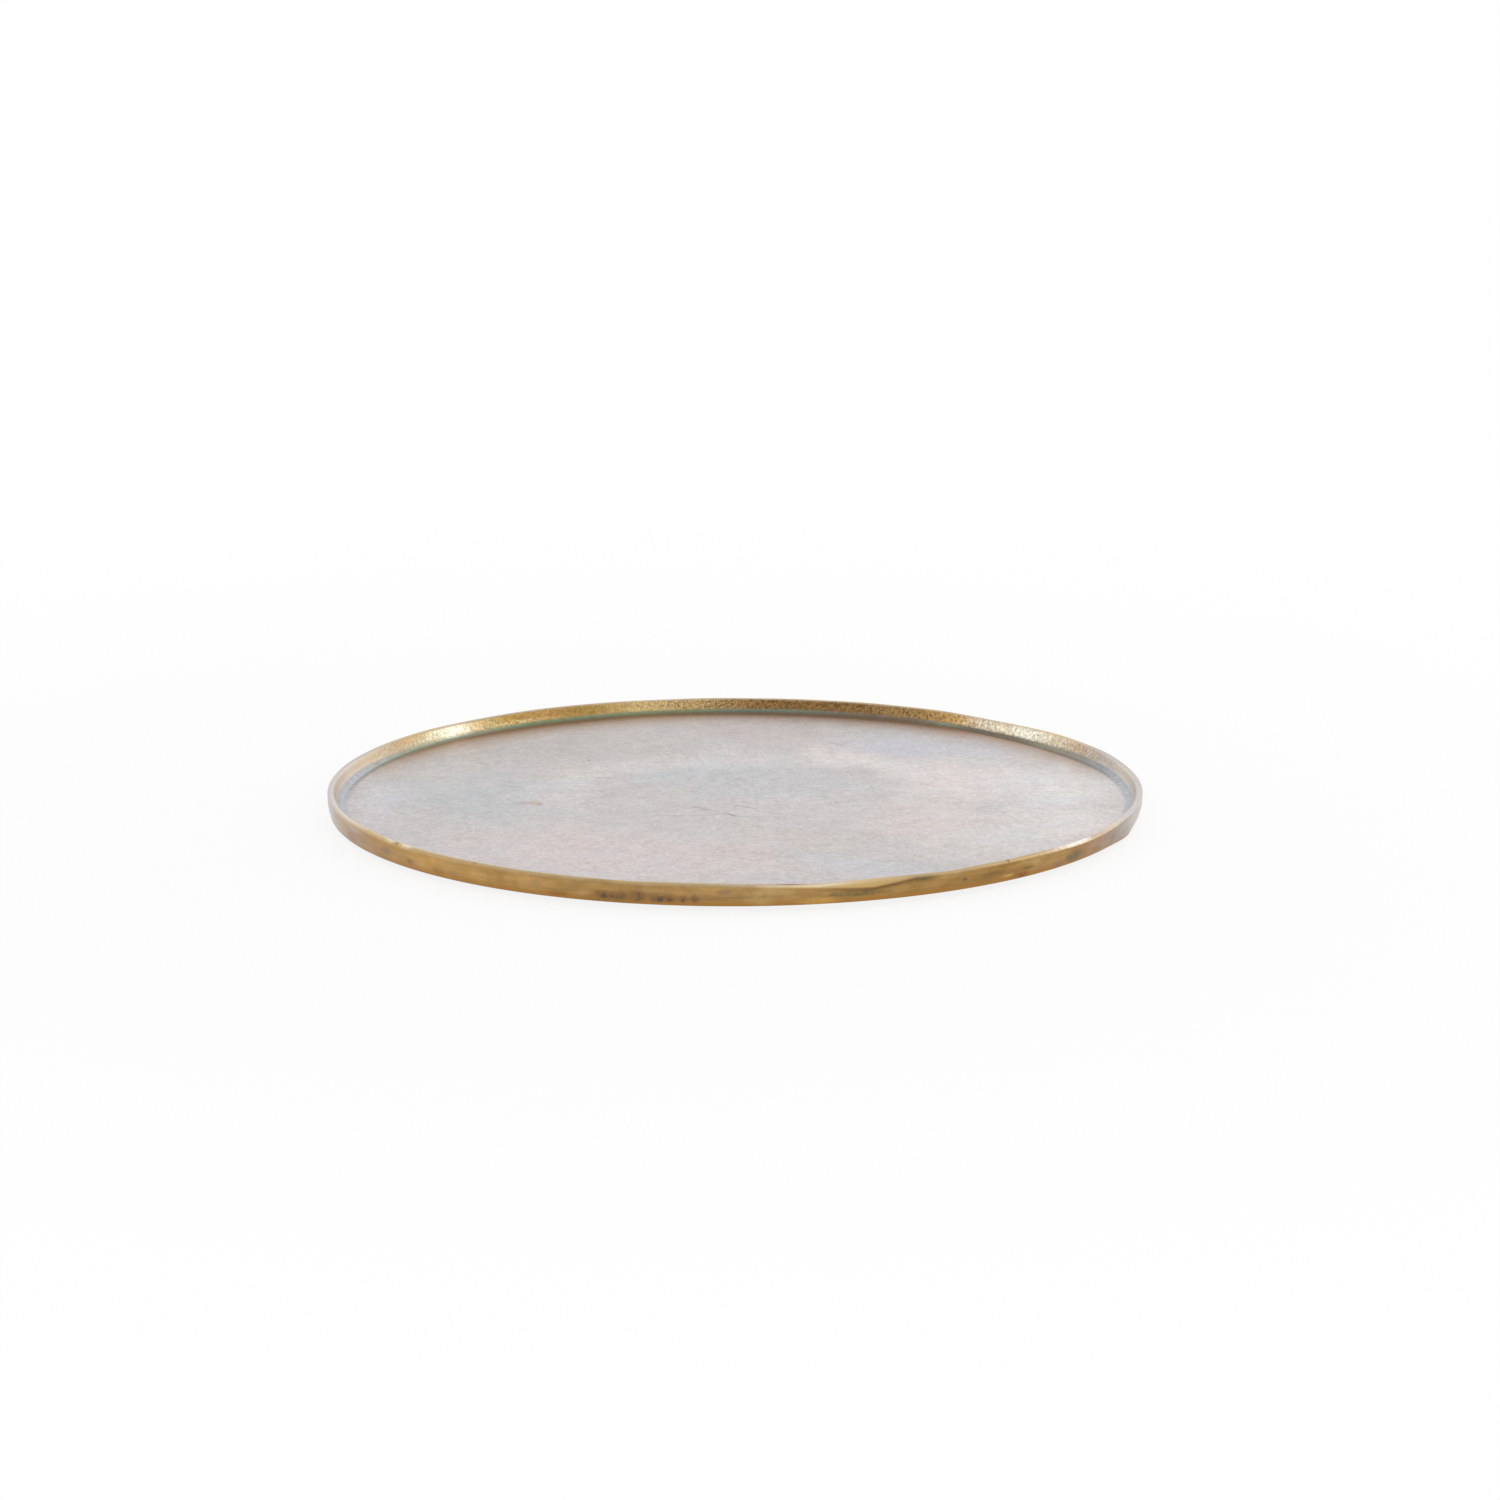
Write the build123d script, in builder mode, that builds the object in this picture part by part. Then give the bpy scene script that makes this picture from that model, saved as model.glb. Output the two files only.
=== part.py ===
from build123d import *
import os

# Candle plate: one sand-cast plate with a low rim, standing on glued felt pads.
# Millimetres, +Z up. The origin is on the table, on the plate's axis.

# Casting
rim_diameter = 330.0     # over the top of the rim, before its edges are rounded
rim_height = 9.1         # from the casting's underside to the top of the rim
rim_land = 2.6           # width of the rim's top, likewise
floor_thickness = 3.2
outer_lean = 1.3         # how far the outer wall draws in towards its foot
inner_lean = 2.0         # how far the inner wall draws in towards the floor
outer_edge_round = 0.8   # outer top edge of the rim
inner_edge_round = 1.2   # inner top edge of the rim, ground softer
floor_cove = 3.9         # hollow where the inner wall runs into the floor
foot_edge_round = 1.2    # bottom edge of the outer wall

# Felt pads and the adhesive film that holds them
pad_count = 4
pad_diameter = 20.0
pad_thickness = 1.8
pad_edge_round = 0.4
pad_inset = 48.0         # from the underside's edge to the pad's centre
pad_start_angle = 45.0
film_thickness = 0.2
film_margin = 0.5        # the film stops this far short of the pad's edge

# Places that follow from the sizes
rim_radius = rim_diameter / 2
foot_radius = rim_radius - outer_lean
inner_top_radius = rim_radius - rim_land
floor_radius = inner_top_radius - inner_lean
underside_z = pad_thickness + film_thickness
floor_z = underside_z + floor_thickness
rim_z = underside_z + rim_height
pad_circle_radius = foot_radius - pad_inset

os.makedirs("parts", exist_ok=True)

# The casting: its half section, turned once about the axis
with BuildPart() as plate:
    with BuildSketch(Plane.XZ) as section:
        with BuildLine():
            Polyline(
                (0, underside_z),
                (foot_radius, underside_z),
                (rim_radius, rim_z),
                (inner_top_radius, rim_z),
                (floor_radius, floor_z),
                (0, floor_z),
                close=True,
            )
        make_face()
        # In the sketch X is the radius and Y the height. The corners lie at three heights:
        # underside, floor and rim, and each round leaves the heights of the next ones as they are.
        cove_corner = section.vertices().group_by(Axis.Y)[1].sort_by(Axis.X)[-1]
        fillet(cove_corner, radius=floor_cove)
        foot_corner = section.vertices().group_by(Axis.Y)[0].sort_by(Axis.X)[-1]
        fillet(foot_corner, radius=foot_edge_round)
        outer_corner = section.vertices().group_by(Axis.Y)[-1].sort_by(Axis.X)[-1]
        fillet(outer_corner, radius=outer_edge_round)
        inner_corner = section.vertices().group_by(Axis.Y)[-1].sort_by(Axis.X)[0]
        fillet(inner_corner, radius=inner_edge_round)
    revolve(axis=Axis.Z)
plate.part.label = "plate"
export_step(plate.part, "parts/plate.step")

# The pads, each a felt disc with a soft lower edge, glued up to the casting by its film
pad_places = PolarLocations(pad_circle_radius, pad_count, start_angle=pad_start_angle)
for number, place in enumerate(pad_places.locations, start=1):
    centre = place.position

    with BuildPart() as felt_pad:
        with BuildSketch(Plane.XY.move(Location(centre))):
            Circle(pad_diameter / 2)
        extrude(amount=pad_thickness)
        fillet(felt_pad.edges().group_by(Axis.Z)[0], radius=pad_edge_round)
    felt_pad.part.label = f"felt_pad_{number}"
    export_step(felt_pad.part, f"parts/felt_pad_{number}.step")

    with BuildPart() as pad_adhesive:
        with BuildSketch(Plane.XY.offset(pad_thickness).move(Location(centre))):
            Circle(pad_diameter / 2 - film_margin)
        extrude(amount=film_thickness)
    pad_adhesive.part.label = f"pad_adhesive_{number}"
    export_step(pad_adhesive.part, f"parts/pad_adhesive_{number}.step")
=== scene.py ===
import math
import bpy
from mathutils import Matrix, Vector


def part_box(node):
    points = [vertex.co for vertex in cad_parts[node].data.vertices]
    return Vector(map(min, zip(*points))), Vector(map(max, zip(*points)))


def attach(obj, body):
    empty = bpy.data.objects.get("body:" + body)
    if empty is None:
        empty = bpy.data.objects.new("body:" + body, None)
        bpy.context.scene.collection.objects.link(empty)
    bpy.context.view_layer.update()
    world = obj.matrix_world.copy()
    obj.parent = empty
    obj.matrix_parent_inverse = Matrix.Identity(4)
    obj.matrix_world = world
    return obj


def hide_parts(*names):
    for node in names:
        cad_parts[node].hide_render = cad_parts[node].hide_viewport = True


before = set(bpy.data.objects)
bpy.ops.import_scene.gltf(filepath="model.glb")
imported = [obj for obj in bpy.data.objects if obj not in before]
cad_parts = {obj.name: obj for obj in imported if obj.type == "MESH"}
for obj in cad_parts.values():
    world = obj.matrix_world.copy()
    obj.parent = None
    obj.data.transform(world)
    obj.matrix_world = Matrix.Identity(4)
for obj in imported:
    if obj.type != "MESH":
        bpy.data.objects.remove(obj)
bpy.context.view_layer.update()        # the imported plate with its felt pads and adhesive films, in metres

from types import SimpleNamespace

import bpy
import numpy as np
from mathutils import Vector

perMetre = 1000.0        # millimetres in a metre
plateLow, plateHigh = (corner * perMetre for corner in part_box("plate"))    # millimetres
print("frame loaded:", len(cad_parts), "nodes")


# Turns an sRGB hex colour such as "A58454" into linear RGBA.
def toLinear(hexColour):
    srgb = np.array([int(hexColour[k:k + 2], 16) for k in (0, 2, 4)]) / 255
    linear = np.where(srgb <= 0.04045, srgb / 12.92, ((srgb + 0.055) / 1.055) ** 2.4)
    return (*linear.tolist(), 1.0)


# A pattern scale, per millimetre, for marks of this size.
def marksOf(millimetres):
    return 1 / millimetres


# Adds one node. Settings are its own properties, inputs are socket values or the sockets that feed them,
# and it gives back one of its outputs.
def addNode(tree, kind, inputs=(), out=0, **settings):
    node = tree.nodes.new(kind)
    for name, value in settings.items():
        setattr(node, name, value)
    for name, value in dict(inputs).items():
        if isinstance(value, bpy.types.NodeSocket):
            tree.links.new(value, node.inputs[name])
        else:
            node.inputs[name].default_value = value
    return node.outputs[out] if node.outputs else node


# Sockets of a Mix node: its share, then what lies under and over, as plain values or as colours
mixShare, valueUnder, valueOver, colourUnder, colourOver = 0, 2, 3, 6, 7
colourMix = {"out": 2, "data_type": "RGBA"}        # what makes a Mix node mix colours


# A material with an empty node tree, and the place on its piece in millimetres.
def newMaterial(name):
    material = bpy.data.materials.new(name)
    material.use_nodes = True
    tree = material.node_tree
    tree.nodes.clear()
    metres = addNode(tree, "ShaderNodeTexCoord", out="Object")
    place = addNode(tree, "ShaderNodeVectorMath", {0: metres, "Scale": perMetre}, operation="SCALE")
    return material, tree, place


# Puts points (millimetres), four-sided and three-sided faces into a mesh piece that rides on the root body.
def addPiece(name, points, quads, triangles, material, slot, replaced, attributes=()):
    mesh = bpy.data.meshes.new(name)
    mesh.vertices.add(len(points))
    mesh.vertices.foreach_set("co", (points / perMetre).astype(np.float32).ravel())
    corners = np.concatenate([quads.ravel(), triangles.ravel()]).astype(np.int32)
    quadStarts = np.arange(len(quads)) * 4
    triangleStarts = len(quads) * 4 + np.arange(len(triangles)) * 3
    mesh.loops.add(len(corners))
    mesh.loops.foreach_set("vertex_index", corners)
    mesh.polygons.add(len(quads) + len(triangles))
    mesh.polygons.foreach_set("loop_start", np.concatenate([quadStarts, triangleStarts]).astype(np.int32))
    mesh.update(calc_edges=True)
    mesh.validate()
    mesh.shade_smooth()
    for label, values in dict(attributes).items():
        mesh.attributes.new(label, "FLOAT", "POINT").data.foreach_set("value", values.astype(np.float32))
    mesh.materials.append(material)
    piece = bpy.data.objects.new(name, mesh)
    bpy.context.scene.collection.objects.link(piece)
    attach(piece, "root")
    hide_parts(*replaced)
    return piece


# Faces of a turned surface: rings of points, ring after ring, with a pole before the first and one after the
# last.
def turnedFaces(rings, columns):
    ring, column = np.meshgrid(np.arange(rings - 1), np.arange(columns), indexing="ij")
    after = (column + 1) % columns
    low = 1 + ring * columns
    quads = np.stack([low + column, low + after, low + columns + after, low + columns + column], -1)
    turn = np.arange(columns)
    turnAfter = (turn + 1) % columns
    lastRing = 1 + (rings - 1) * columns
    topPole = np.full(columns, lastRing + columns)
    firstFan = np.stack([np.zeros(columns, int), 1 + turnAfter, 1 + turn], -1)
    lastFan = np.stack([lastRing + turn, lastRing + turnAfter, topPole], -1)
    return quads.reshape(-1, 4), np.concatenate([firstFan, lastFan])


# A section of straight runs with a round in each inner corner. A round's centre lies on the corner's
# bisector, radius / sin(half the corner's angle) away, and its arc joins the two tangent points.
def roundedSection(corners, rounds, runSteps, roundSteps):
    corners = np.array(corners, float)
    stretches = []
    last = corners[0]
    for k, radius in enumerate(rounds, start=1):
        back = corners[k - 1] - corners[k]
        ahead = corners[k + 1] - corners[k]
        back /= np.linalg.norm(back)
        ahead /= np.linalg.norm(ahead)
        half = np.arccos(back @ ahead) / 2
        begin = corners[k] + back * radius / np.tan(half)
        end = corners[k] + ahead * radius / np.tan(half)
        centre = corners[k] + (back + ahead) / np.linalg.norm(back + ahead) * radius / np.sin(half)
        stretches.append(np.linspace(last, begin, runSteps[k - 1], endpoint=False))
        first = np.arctan2(*(begin - centre)[::-1])
        sweep = (np.arctan2(*(end - centre)[::-1]) - first + np.pi) % (2 * np.pi) - np.pi
        angle = first + sweep * np.linspace(0, 1, roundSteps[k - 1], endpoint=False)
        stretches.append(centre + radius * np.stack([np.cos(angle), np.sin(angle)], -1))
        last = end
    stretches.append(np.linspace(last, corners[-1], runSteps[-1], endpoint=False))
    lengths = [len(stretch) for stretch in stretches]
    return np.concatenate(stretches), np.cumsum([0, *lengths])


# Smooth random swell with a mean square of one: seeded cosine waves added up, each with a whole number of
# turns round the axis and its own slope along the section. Spread is the waves' range of turns.
def swell(draw, azimuth, along, turnLength, alongLength, radius, count=24, spread=(0.35, 1.3)):
    turns = np.rint(2 * np.pi * radius / turnLength * draw.uniform(*spread, count))
    slopes = 2 * np.pi / alongLength * draw.uniform(-1, 1, count)
    phases = draw.uniform(0, 2 * np.pi, count)
    waves = np.cos(azimuth[..., None] * turns + along[..., None] * slopes + phases)
    return waves.sum(-1) * np.sqrt(2 / count)


# 0 below low, 1 above high, and an S between.
def smoothStep(low, high, value):
    t = np.clip((value - low) / (high - low), 0, 1)
    return t * t * (3 - 2 * t)


# A bell curve round the axis: 1 at its azimuth, and 1 / e at its reach to either side.
def bellRound(degrees, at, reach):
    apart = (degrees - at + 180) % 360 - 180
    return np.exp(-(apart / reach) ** 2)


# Camera and light, placed as the photograph was taken
view = {
    "distance": 1.98,          # metres from the origin, which is on the table under the plate's middle
    "elevation": 13.596,       # degrees above the table
    "aim": (0.00604, 0.0055, 0.0235),
    "lens": 117.04,
    "sensor": 36.0,
}
studio = {
    "ambient": 0.85,           # the world's strength on matt surfaces
    "paper": "F2F2F0",
    "white": "FFFFFF",
    "floorShows": 0.86,        # share of plain white in the floor near the plate, the rest takes the shadow
    "floorFades": (250, 700),  # millimetres from the axis over which the floor turns plain white
    "floorSize": 40.0,
    "softboxes": [             # bearing from the camera's side, degrees, + to the right
        {"bearing": 98, "elevation": 21, "distance": 1.5, "size": (0.5, 1.1), "watts": 5.2},
        {"bearing": -96, "elevation": 6, "distance": 1.5, "size": (0.95, 0.5), "watts": 1.5},
        {"bearing": 180, "elevation": 34, "distance": 1.8, "size": (1.8, 0.9), "watts": 2.0},
    ],
}


def addCamera(view):
    elevation = math.radians(view["elevation"])
    camera = bpy.data.cameras.new("photoView")
    camera.lens = view["lens"]
    camera.sensor_width = view["sensor"]
    placed = bpy.data.objects.new("photoView", camera)
    placed.location = view["distance"] * Vector((0, -math.cos(elevation), math.sin(elevation)))
    looking = Vector(view["aim"]) - placed.location
    placed.rotation_euler = looking.to_track_quat("-Z", "Y").to_euler()
    bpy.context.scene.collection.objects.link(placed)
    bpy.context.scene.camera = placed


# 1 on rays from the camera and on rays that metal or glass sends on, else 0.
def seenRays(tree):
    path = tree.nodes.new("ShaderNodeLightPath")
    mirrored = addNode(tree, "ShaderNodeMath", {0: path.outputs["Is Glossy Ray"],
                                                1: path.outputs["Is Transmission Ray"]}, operation="MAXIMUM")
    return addNode(tree, "ShaderNodeMath", {0: path.outputs["Is Camera Ray"], 1: mirrored},
                   operation="MAXIMUM")


# White for the eye and in reflections, and a plain level of light on matt surfaces.
def addWorld(studio):
    world = bpy.data.worlds.new("whiteStudio")
    bpy.context.scene.world = world
    world.use_nodes = True
    tree = world.node_tree
    tree.nodes.clear()
    strength = addNode(tree, "ShaderNodeMapRange", {"Value": seenRays(tree), "To Min": studio["ambient"],
                                                    "To Max": 1.0})
    glow = addNode(tree, "ShaderNodeBackground", {"Color": toLinear(studio["white"]), "Strength": strength})
    addNode(tree, "ShaderNodeOutputWorld", {"Surface": glow})


# Seamless white paper: mostly plain white to the eye, and matt enough near the plate to keep a soft shadow.
def addFloor(studio):
    material, tree, place = newMaterial("whitePaper")
    apart = addNode(tree, "ShaderNodeVectorMath", {0: place}, out="Value", operation="LENGTH")
    begin, end = studio["floorFades"]
    plain = addNode(tree, "ShaderNodeMapRange", {"Value": apart, "From Min": begin, "From Max": end,
                                                 "To Min": studio["floorShows"], "To Max": 1.0})
    shown = addNode(tree, "ShaderNodeMath", {0: seenRays(tree), 1: plain}, operation="MULTIPLY")
    paper = addNode(tree, "ShaderNodeBsdfDiffuse", {"Color": toLinear(studio["paper"])})
    white = addNode(tree, "ShaderNodeEmission", {"Color": toLinear(studio["white"]), "Strength": 1.0})
    both = addNode(tree, "ShaderNodeMixShader", {0: shown, 1: paper, 2: white})
    addNode(tree, "ShaderNodeOutputMaterial", {"Surface": both})
    half = studio["floorSize"] / 2
    corners = [(-half, -half, 0), (half, -half, 0), (half, half, 0), (-half, half, 0)]
    mesh = bpy.data.meshes.new("paperFloor")
    mesh.from_pydata(corners, [], [(0, 1, 2, 3)])
    mesh.materials.append(material)
    floor = bpy.data.objects.new("paperFloor", mesh)
    bpy.context.scene.collection.objects.link(floor)


def addSoftboxes(studio):
    for number, box in enumerate(studio["softboxes"], start=1):
        bearing = math.radians(box["bearing"])
        elevation = math.radians(box["elevation"])
        lamp = bpy.data.lights.new(f"softbox_{number}", "AREA")
        lamp.shape = "RECTANGLE"
        lamp.size, lamp.size_y = box["size"]
        lamp.energy = box["watts"]
        towards = Vector((math.sin(bearing) * math.cos(elevation), -math.cos(bearing) * math.cos(elevation),
                          math.sin(elevation)))
        placed = bpy.data.objects.new(lamp.name, lamp)
        placed.location = towards * box["distance"]
        placed.rotation_euler = (-towards).to_track_quat("-Z", "Y").to_euler()
        bpy.context.scene.collection.objects.link(placed)


bpy.context.scene.view_settings.view_transform = "Standard"
addCamera(view)
addWorld(studio)
addFloor(studio)
addSoftboxes(studio)
print("camera, floor and light placed")


# The casting: millimetres, azimuth in degrees from the front, + to the right
plateShape = {
    "rimRadius": 165.0,        # to the corner of outer wall and rim top, before it is rounded
    "land": 2.6,               # width of the rim's top, likewise
    "floorThickness": 3.2,
    "outerLean": 1.3,          # how far the outer wall draws in towards the foot
    "innerLean": 2.0,          # how far the inner wall draws in towards the floor
    "rounds": {"foot": 1.2, "outerEdge": 1.3, "innerEdge": 1.4, "cove": 3.9},
    "columns": 1120,           # points round the axis
    "runSteps": (7, 21, 2, 8, 17),     # rings on underside, outer wall, land, inner wall, floor
    "roundSteps": (5, 7, 7, 12),       # rings on foot, outer edge, inner edge, cove
    "seed": 7,
    # How far each surface strays into the metal: swell is added to this mean, and its waves have these
    # lengths round the axis and along the section
    "outerWaver": {"by": 0.022, "mean": 1.2, "waves": (44, 26)},
    "innerWaver": {"by": 0.03, "mean": 1.2, "waves": (22, 12)},
    "lipWaver": {"by": 0.06, "mean": 1.4, "waves": (46, 1)},
    "waverMost": 3,            # mean and swell together go no higher
    "waverPast": 1,            # waver is in full this far past the start of outer wall and inner edge
    "wallCrown": 0.35,         # how far the outer wall swells between foot and rim
    "floorSwell": {"by": 0.06, "count": 14, "lengths": (35, 110), "fadesIn": 12},
    "lipStarts": 2,            # the lip's waver and dips start this high above the floor
    # Where the lip is worn low: azimuth, reach, depth
    "lipDips": [(11.5, 5, 0.8), (29.5, 4, 0.55), (56, 7, 0.7), (135, 10, 0.62), (170, 30, 0.3),
                (-173, 6, 0.15)],
    "footReach": 14,           # how far under the plate the foot's lift runs out
    "footLift": 0.15,          # the foot stands this much high all round,
    "footTilt": 0.32,          # and this much lower at the left and higher at the right
    "footDip": (71, 6.5, 0.45),        # and it droops at this azimuth, over this reach, by this much
    "footBumps": [(70, 3.5, 0.7), (77.5, 4.5, -0.35)],     # where it stands out or in: azimuth, reach, by
    # Flats ground on the rim: tilt is the flat's normal above level. The cut's depth, how pale it is worn,
    # how cream it is along the lip and how dark the painted shade line below it is run along the azimuth
    "flats": [
        {"tilt": 27, "azimuths": (0, 3, 7, 12, 15, 18.5, 21.3, 23.7, 27.2),
         "depths": (0, 0.75, 0.9, 1.3, 1.52, 1.66, 1.22, 0.78, 0),
         "pales": (0, 0.5, 1, 1, 1, 0.9, 0.7, 0.5, 0),
         "creams": (1, 1, 1, 1, 0.45, 0.25, 0.25, 0.2, 0),
         "shades": (0, 0, 0, 0.4, 0.6, 0.75, 0.75, 0.6, 0)},
        # The second flat's pale cream on the lip is a painted highlight where the right softbox also shines.
        {"tilt": 33, "azimuths": (46.5, 50, 53, 56.5), "depths": (0, 0.62, 0.5, 0), "pales": (0, 1, 0.8, 0),
         "creams": (1, 1, 1, 1), "shades": (0, 0, 0, 0)},
    ],
    "flatEdge": 0.22,          # how softly a flat runs out
    "flatStarts": 0.3,         # depth from which a flat is cut in full
    "flatBare": (-0.2, 0.15),  # how far below and above its plane the metal turns bare
    "flatLine": (0.36, 0.34),  # how far below it the dark line lies, and the line's reach
    # Clusters of casting pits: azimuth, height, how many, and how far they scatter sideways and in height
    "pitClusters": [
        (-17.4, 4.5, 4, 2.6, 0.6), (-15.2, 4.5, 6, 2.6, 0.6), (-12.8, 4.7, 7, 1.7, 1.0),
        (-10.6, 4.4, 7, 2.6, 0.6), (-8.6, 4.4, 2, 2.0, 0.5), (-6.8, 4.3, 3, 0.5, 0.4),
        (-5.3, 4.5, 2, 0.4, 0.4),
    ],
    "pitScatter": 0.6,         # standard deviation, as a share of how far they scatter
    "pitWidth": (1.0, 2.2),
    "pitTallness": (0.7, 1.4), # height of a pit as a share of its width
    "pitDepth": (0.1, 0.28),
    "pitShows": (0.02, 0.34),  # depth from which the metal darkens, and at which it is darkest
    "pitSpread": (-22, -3, 3.2),       # from, to, and how much closer the points lie there
}


# Azimuths whose spacing closes up over one sector: the running sum of a density, turned round.
def spreadAzimuths(count, sector, blend=2, samples=7201):
    fine = np.linspace(-180, 180, samples)
    begin, end, closer = sector
    within = smoothStep(begin - blend, begin, fine) * (1 - smoothStep(end, end + blend, fine))
    density = 1 + (closer - 1) * within
    reach = np.concatenate([[0], np.cumsum((density[1:] + density[:-1]) / 2)])
    return np.radians(np.interp(np.arange(count) / count * reach[-1], reach, fine))


# The plate's half section, from the axis along the underside, up the outer wall, over the rim and back along
# the floor: its points, the normals out of the metal, the way walked along it, and where each zone starts.
def plateSection(shape, underZ, floorZ, rimZ):
    rimRadius = shape["rimRadius"]
    innerTop = rimRadius - shape["land"]
    corners = [(0, underZ), (rimRadius - shape["outerLean"], underZ), (rimRadius, rimZ), (innerTop, rimZ),
               (innerTop - shape["innerLean"], floorZ), (0, floorZ)]
    section, starts = roundedSection(corners, shape["rounds"].values(), shape["runSteps"],
                                     shape["roundSteps"])
    section = section[1:]                      # the first point is the pole
    starts = np.maximum(starts - 1, 0)
    steps = np.diff(section, axis=0, append=[[0, floorZ]])
    slope = steps / np.linalg.norm(steps, axis=1, keepdims=True)
    slope = slope + np.roll(slope, 1, axis=0)
    slope[0] = (1, 0)
    slope /= np.linalg.norm(slope, axis=1, keepdims=True)
    normal = np.stack([slope[:, 1], -slope[:, 0]], -1)
    walked = np.concatenate([[0], np.cumsum(np.linalg.norm(np.diff(section, axis=0), axis=1))])
    names = ("foot", "outerWall", "outerEdge", "land", "innerEdge", "innerWall", "cove", "floor")
    zones = {name: float(walked[index]) for name, index in zip(names, starts[1:])}
    return section, normal, walked, zones


# How far a surface strays into the metal: swell about a mean, never outwards.
def straying(shape, draw, azimuth, along, waver):
    swelled = swell(draw, azimuth, along, *waver["waves"], shape["rimRadius"])
    return waver["by"] * (waver["mean"] + swelled).clip(0, shape["waverMost"])


# Depth of the casting pits: bell curves scattered about the place of each cluster, where the deepest counts.
def castingPits(shape, draw, turn, height, onWall):
    pitted = np.zeros_like(height)
    for where, level, count, wide, tall in shape["pitClusters"]:
        fromCluster = (turn - math.radians(where)) * shape["rimRadius"]
        for _ in range(count):
            apartTurn = fromCluster - draw.normal(0, wide * shape["pitScatter"])
            apartHeight = height - level - draw.normal(0, tall * shape["pitScatter"])
            half = draw.uniform(*shape["pitWidth"]) / 2
            apart = np.hypot(apartTurn / half, apartHeight / (half * draw.uniform(*shape["pitTallness"])))
            bell = draw.uniform(*shape["pitDepth"]) * np.exp(-apart ** 2)
            pitted = np.maximum(pitted, bell * onWall)
    return pitted


# Flats ground on the rim: every point that stands proud of a flat's plane is carried back to that plane,
# softly at its edge. Gives the new places, how bare the metal is, which on the second flat is a painted
# highlight, how cream it is, and the painted shade of the line below a flat.
def groundRim(shape, degrees, radius, height, rimZ, outside):
    look = {name: np.zeros_like(radius) for name in ("ground", "cream", "shadeBelowFlat")}
    softness = shape["flatEdge"]
    lineBelow, lineReach = shape["flatLine"]
    for flat in shape["flats"]:
        tilt = math.radians(flat["tilt"])
        depth, pale, creamy, shade = (np.interp(degrees, flat["azimuths"], flat[kind])
                                      for kind in ("depths", "pales", "creams", "shades"))
        limit = shape["rimRadius"] * math.cos(tilt) + rimZ * math.sin(tilt) - depth
        proud = radius * math.cos(tilt) + height * math.sin(tilt) - limit
        cut = softness * np.logaddexp(0, proud / softness) * smoothStep(0, shape["flatStarts"], depth)
        radius = radius - cut * math.cos(tilt)
        height = height - cut * math.sin(tilt)
        bareAndHighlight = pale * smoothStep(*shape["flatBare"], proud)
        line = np.exp(-((proud + lineBelow) / lineReach) ** 2) * shade
        look["ground"] = np.maximum(look["ground"], bareAndHighlight)
        look["cream"] = np.maximum(look["cream"], creamy * (bareAndHighlight > 0))
        look["shadeBelowFlat"] = np.maximum(look["shadeBelowFlat"], line * outside)
    return radius, height, look


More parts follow.
